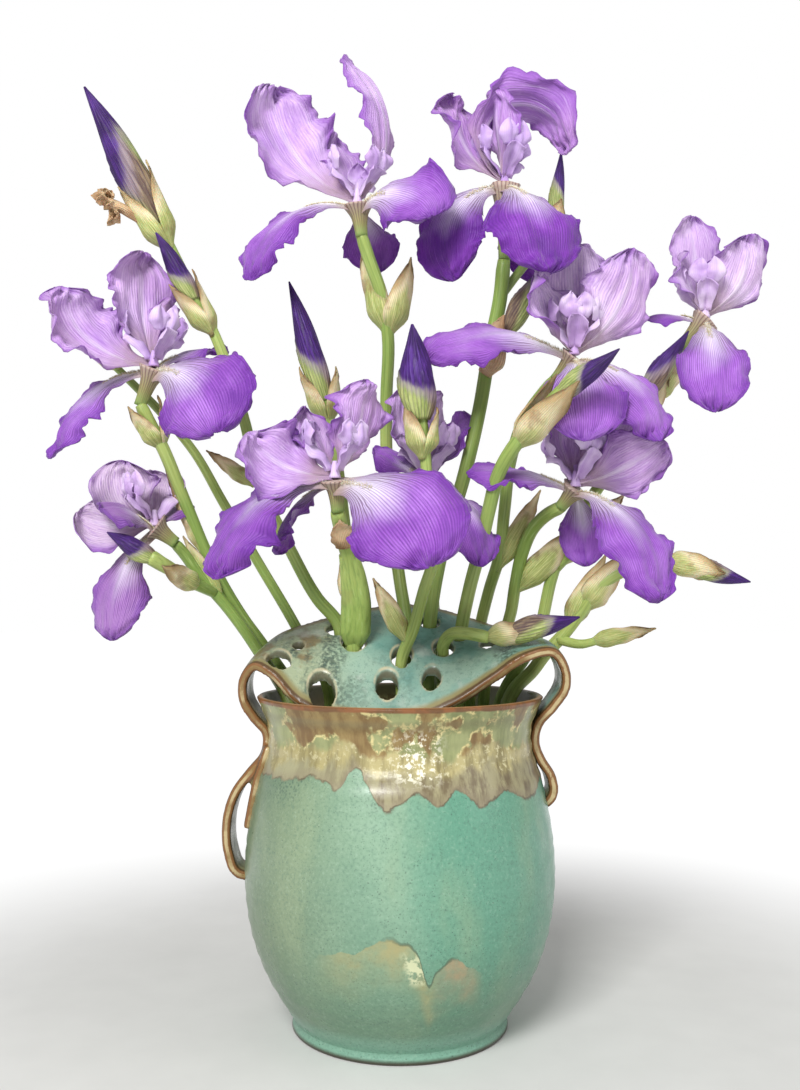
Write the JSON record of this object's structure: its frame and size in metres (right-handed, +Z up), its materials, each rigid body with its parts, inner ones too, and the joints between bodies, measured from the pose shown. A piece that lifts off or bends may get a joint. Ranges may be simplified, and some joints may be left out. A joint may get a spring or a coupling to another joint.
{
  "type": "irises in a vase",
  "caption": "Bearded irises, open and in bud, standing in water in a glazed stoneware vase with a pierced clay strap across its mouth.",
  "frame": {"origin": "centre of the vase's flat underside", "axes": "+Z up along the vase's axis, +X to the viewer's right, +Y away from the viewer"},
  "size_m": [0.4169, 0.1804, 0.5407],
  "materials": {
    "vase_glaze": "gloss",
    "water": "gloss",
    "stem_green": "satin",
    "standard_lavender": "matte",
    "fall_violet": "matte",
    "bud_purple": "satin",
    "dry_bract": "matte"
  },
  "bodies": {
    "root": {"bloom_far_right_falls": "fall_violet", "bloom_far_right_standards": "standard_lavender", "bloom_front_falls": "fall_violet", "bloom_front_standards": "standard_lavender", "bloom_left_falls": "fall_violet", "bloom_left_standards": "standard_lavender", "bloom_low_left_falls": "fall_violet", "bloom_low_left_standards": "standard_lavender", "bloom_low_right_falls": "fall_violet", "bloom_low_right_standards": "standard_lavender", "bloom_middle_falls": "fall_violet", "bloom_middle_standards": "standard_lavender", "bloom_right_falls": "fall_violet", "bloom_right_standards": "standard_lavender", "bloom_top_left_falls": "fall_violet", "bloom_top_left_standards": "standard_lavender", "bloom_top_right_falls": "fall_violet", "bloom_top_right_standards": "standard_lavender", "bud_behind_left": "bud_purple", "bud_far_right": "bud_purple", "bud_front": "bud_purple", "bud_front_side": "bud_purple", "bud_leaning": "bud_purple", "bud_low": "bud_purple", "bud_low_far_right": "bud_purple", "bud_low_left": "bud_purple", "bud_tall": "bud_purple", "bud_tall_side": "bud_purple", "bud_top_right_low": "bud_purple", "bud_top_right_side": "bud_purple", "dried_flower": "dry_bract", "dry_bract_front": "dry_bract", "dry_bract_top_right": "dry_bract", "stem_behind_left": "stem_green", "stem_far_right": "stem_green", "stem_front": "stem_green", "stem_front_bud": "stem_green", "stem_leaning_bud": "stem_green", "stem_left": "stem_green", "stem_low_bud": "stem_green", "stem_low_far_right": "stem_green", "stem_low_left": "stem_green", "stem_low_right": "stem_green", "stem_middle": "stem_green", "stem_right": "stem_green", "stem_tall": "stem_green", "stem_top_left": "stem_green", "stem_top_right": "stem_green", "vase": "vase_glaze", "water": "water"}
  },
  "joints": []
}
